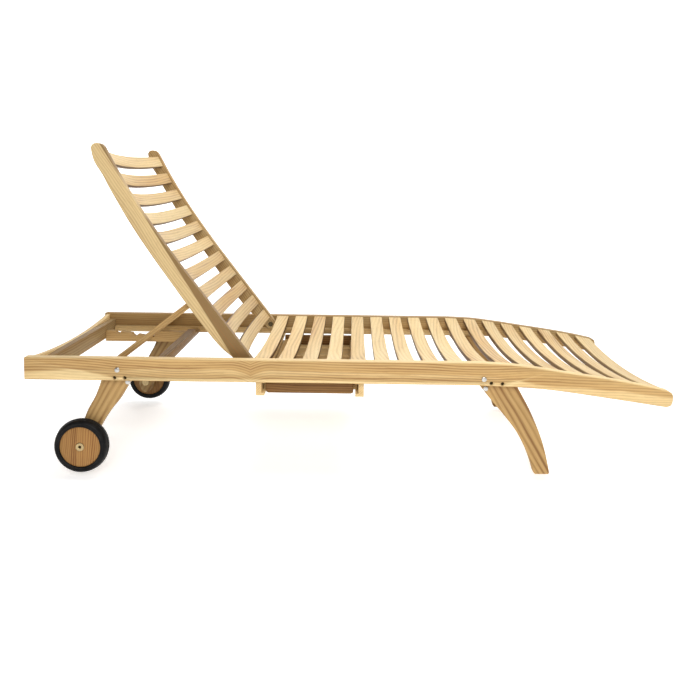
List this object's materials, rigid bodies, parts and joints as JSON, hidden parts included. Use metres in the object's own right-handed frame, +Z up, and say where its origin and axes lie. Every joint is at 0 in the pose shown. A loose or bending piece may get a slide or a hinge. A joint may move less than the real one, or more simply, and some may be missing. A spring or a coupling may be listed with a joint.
{
  "type": "reclining sun lounger",
  "caption": "Slatted teak sun lounger with a reclining backrest on a rack and prop, two wheels and a pull-out side tray.",
  "frame": {"origin": "on the ground, in the middle of the footprint", "axes": "+Z up, -X towards the head end with the wheels, +X towards the foot end, -Y towards the near side where the tray pulls out"},
  "size_m": [2.0001, 0.7128, 1.0215],
  "materials": {
    "teak": "satin",
    "steel": "satin",
    "brass": "satin",
    "tyre": "matte"
  },
  "bodies": {
    "frame": {"side_rail_near": "teak", "side_rail_far": "teak", "ledger_near": "teak", "ledger_far": "teak", "seat_slat_01": "teak", "seat_slat_02": "teak", "seat_slat_03": "teak", "seat_slat_04": "teak", "seat_slat_05": "teak", "seat_slat_06": "teak", "seat_slat_07": "teak", "seat_slat_08": "teak", "seat_slat_09": "teak", "seat_slat_10": "teak", "seat_slat_11": "teak", "seat_slat_12": "teak", "seat_slat_13": "teak", "seat_slat_14": "teak", "seat_slat_15": "teak", "seat_slat_16": "teak", "seat_slat_17": "teak", "head_rail": "teak", "head_slat": "teak", "cross_brace": "teak", "prop_rack_near": "teak", "prop_rack_far": "teak", "wheel_leg_near": "teak", "wheel_leg_far": "teak", "foot_leg_near": "teak", "foot_leg_far": "teak", "tray_runner_head": "teak", "tray_runner_foot": "teak", "leg_bolts": "steel", "axle_bolts": "brass", "pivot_bolts": "steel"},
    "backrest": {"stile_near": "teak", "stile_far": "teak", "back_slat_01": "teak", "back_slat_02": "teak", "back_slat_03": "teak", "back_slat_04": "teak", "back_slat_05": "teak", "back_slat_06": "teak", "back_slat_07": "teak", "back_slat_08": "teak", "back_slat_09": "teak", "back_slat_10": "teak", "back_slat_11": "teak", "prop_bolts": "steel"},
    "prop": {"prop_arm_near": "teak", "prop_arm_far": "teak", "prop_crossbar": "teak"},
    "wheel_near": {"tyre_near": "tyre", "wheel_disc_near": "teak"},
    "wheel_far": {"tyre_far": "tyre", "wheel_disc_far": "teak"},
    "tray": {"tray_board_near": "teak", "tray_board_far": "teak", "tray_sides": "teak", "tray_floor": "teak"}
  },
  "joints": [
    {"name": "backrest_recline", "type": "hinge", "parent": "frame", "child": "backrest", "pos_m": [-0.316, 0, 0.334], "axis": [0, 1, 0], "range_deg": [-47.5, 0]},
    {"name": "prop_swing", "type": "hinge", "parent": "backrest", "child": "prop", "pos_m": [-0.4927, 0, 0.5261], "axis": [0, 1, 0], "range_deg": [0, 88]},
    {"name": "wheel_near_spin", "type": "hinge", "parent": "frame", "child": "wheel_near", "pos_m": [-0.8247, -0.336, 0.084], "axis": [0, 1, 0], "continuous": true},
    {"name": "wheel_far_spin", "type": "hinge", "parent": "frame", "child": "wheel_far", "pos_m": [-0.8247, 0.336, 0.084], "axis": [0, 1, 0], "continuous": true},
    {"name": "tray_slide", "type": "slide", "parent": "frame", "child": "tray", "axis": [0, -1, 0], "range_m": [0, 0.4]}
  ],
  "couplings": [
    {"joint": "prop_swing", "follows": "backrest_recline", "ratio": -1.85}
  ]
}
